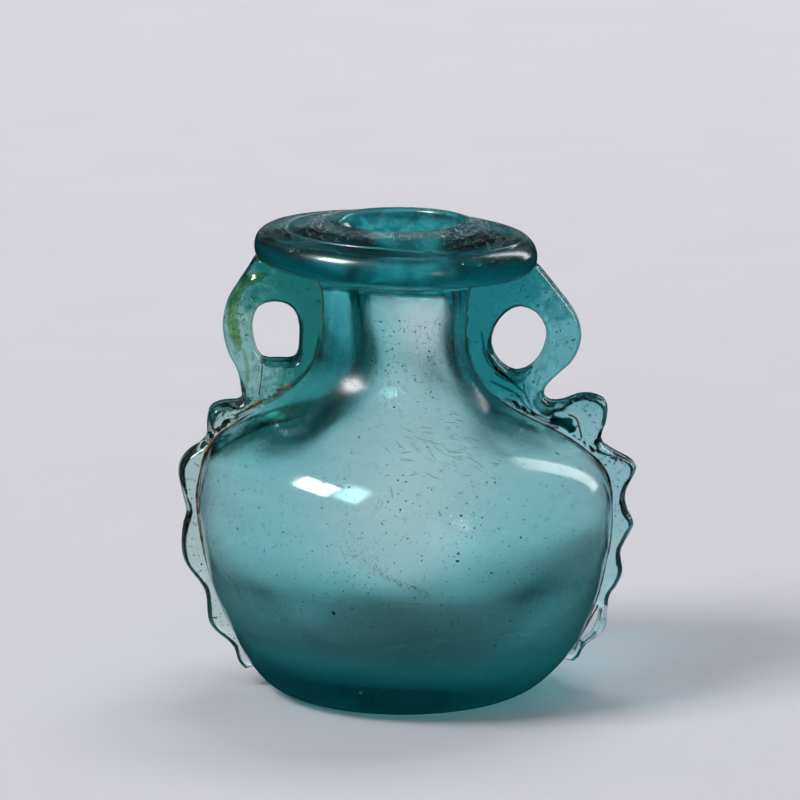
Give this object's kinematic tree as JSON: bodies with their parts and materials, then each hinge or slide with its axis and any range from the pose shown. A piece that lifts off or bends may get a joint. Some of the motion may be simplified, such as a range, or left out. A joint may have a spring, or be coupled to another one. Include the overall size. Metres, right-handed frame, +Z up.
{
  "type": "glass perfume flask",
  "caption": "Small squat blown glass perfume flask with a short neck, a wide folded rim, and on each side a looped handle running down the body as a crimped trail.",
  "frame": {"origin": "centre of the flat foot, on the surface that the flask stands on", "axes": "+Z up along the neck, +X towards the right handle as a viewer at -Y sees the flask"},
  "size_m": [0.0729, 0.0662, 0.0759],
  "materials": {
    "vessel_glass": "clear blue-green blown glass with seed bubbles, fine pits and scratches",
    "pale_trail_glass": "pale greenish blown glass, olive at its edges, pitted in places",
    "blue_trail_glass": "blue-green blown glass with swirled striations",
    "burial_deposit": "matt brown burial deposit along the handles' joints"
  },
  "bodies": {
    "root": {"vessel": "vessel_glass", "handle_left": "pale_trail_glass", "handle_right": "blue_trail_glass"}
  },
  "joints": []
}
